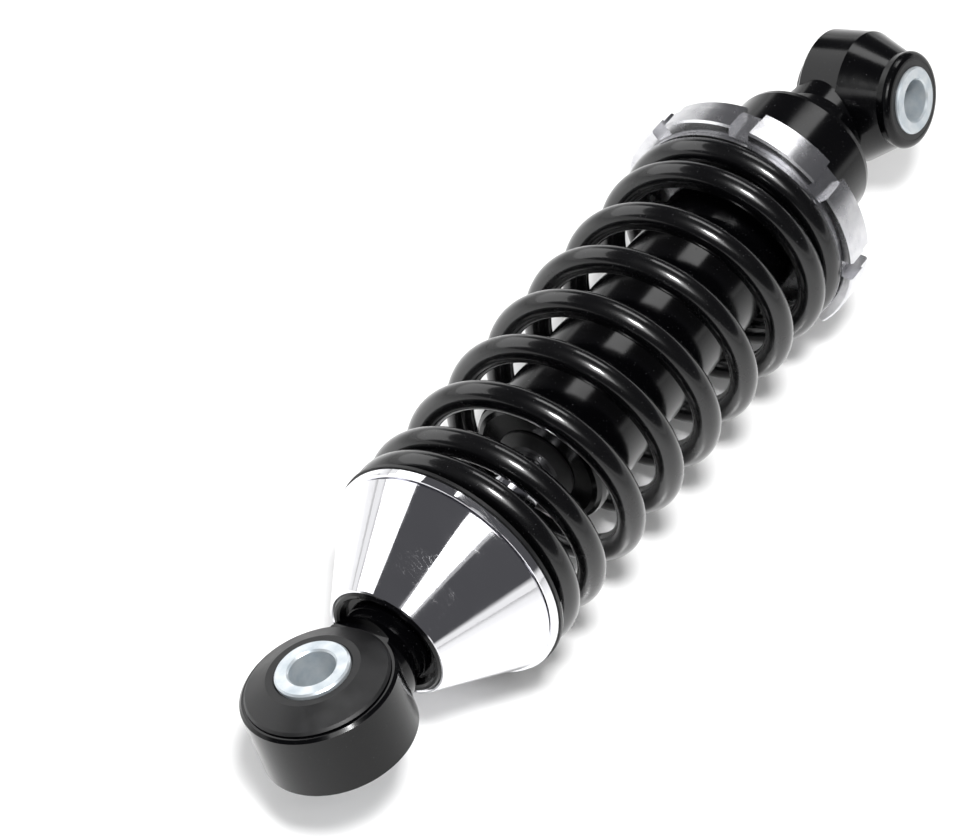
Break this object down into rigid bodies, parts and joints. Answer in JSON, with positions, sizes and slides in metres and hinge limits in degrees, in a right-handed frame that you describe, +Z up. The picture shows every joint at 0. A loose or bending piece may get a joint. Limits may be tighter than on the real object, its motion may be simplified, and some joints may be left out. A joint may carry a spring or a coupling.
{
  "type": "rear shock absorber",
  "caption": "Coil-over rear shock absorber with a polished cone spring retainer, black spring, notched preload ring and a rubber-bushed eye at each end.",
  "frame": {"origin": "centre of the upper eye's bore, on the damper axis", "axes": "+X along the damper axis from the upper eye to the lower eye, +Z up as the shock lies on a flat floor"},
  "size_m": [0.3215, 0.077, 0.077],
  "materials": {
    "black_enamel": "glossy black stoved enamel on steel",
    "black_rubber": "moulded rubber, slight sheen",
    "zinc_plate": "bright blue-white zinc plate on turned steel",
    "plain_steel": "plain machined steel, oiled",
    "polished_chrome": "polished chrome plate with fine wipe marks",
    "hard_chrome": "ground hard chrome",
    "sintered_steel": "sintered steel, oiled",
    "filled_ptfe": "bronze-filled low-friction plastic",
    "turned_aluminium": "turned aluminium",
    "bronze_bushing": "thin bronze bearing shell",
    "black_spring_coat": "gloss black powder coat on spring steel"
  },
  "bodies": {
    "damper_body": {"damper_tube": "black_enamel", "rod_wiper": "black_rubber", "seal_head": "turned_aluminium", "rod_seal": "black_rubber", "guide_bushing": "bronze_bushing", "head_o_ring": "black_rubber", "retaining_ring": "plain_steel", "inner_tube": "plain_steel", "base_valve": "sintered_steel", "base_shims": "plain_steel", "base_valve_nut": "plain_steel", "base_cap": "black_enamel", "lower_eye": "black_enamel", "lower_bush": "black_rubber", "cam_pegs": "plain_steel", "coil_spring": "black_spring_coat"},
    "piston_band": {"piston_band": "filled_ptfe"},
    "rod": {"upper_eye": "black_enamel", "upper_bush": "black_rubber", "keeper_dish": "black_enamel", "rod_lock_nut": "plain_steel", "spring_cone": "polished_chrome", "upper_spring_pad": "black_rubber", "damper_rod": "hard_chrome", "bump_washer": "plain_steel", "bump_stop": "black_rubber", "topout_spring": "plain_steel", "topout_washer": "plain_steel", "rebound_shims": "plain_steel", "piston": "sintered_steel", "compression_shims": "plain_steel", "piston_nut": "plain_steel"},
    "upper_sleeve": {"upper_sleeve": "zinc_plate"},
    "lower_sleeve": {"lower_sleeve": "zinc_plate"},
    "spring_seat": {"lower_spring_seat": "plain_steel"},
    "cam_ring": {"preload_cam_ring": "polished_chrome"}
  },
  "joints": [
    {"name": "rod_slide", "type": "slide", "parent": "damper_body", "child": "piston_band", "axis": [1, 0, 0], "range_m": [0, 0.045], "stiffness_N_per_m": 22000, "springref_m": -0.018, "deforming": ["coil_spring"]},
    {"name": "rod_turn", "type": "hinge", "parent": "piston_band", "child": "rod", "pos_m": [0.14, 0, 0], "axis": [1, 0, 0], "continuous": true},
    {"name": "preload_slide", "type": "slide", "parent": "damper_body", "child": "spring_seat", "axis": [-1, 0, 0], "range_m": [0, 0.0075], "deforming": ["coil_spring"]},
    {"name": "cam_turn", "type": "hinge", "parent": "spring_seat", "child": "cam_ring", "pos_m": [0.217, 0, 0], "axis": [1, 0, 0], "range_deg": [0, 150]},
    {"name": "upper_sleeve_twist", "type": "hinge", "parent": "rod", "child": "upper_sleeve", "pos_m": [0, 0, 0], "axis": [0, 0.4067, 0.9135], "range_deg": [-15, 15], "stiffness_Nm_per_rad": 25},
    {"name": "lower_sleeve_twist", "type": "hinge", "parent": "damper_body", "child": "lower_sleeve", "pos_m": [0.28, 0, 0], "axis": [0, -0.891, 0.454], "range_deg": [-15, 15], "stiffness_Nm_per_rad": 25}
  ],
  "couplings": [
    {"joint": "preload_slide", "follows": "cam_turn", "m_per_rad": 0.0028646}
  ]
}
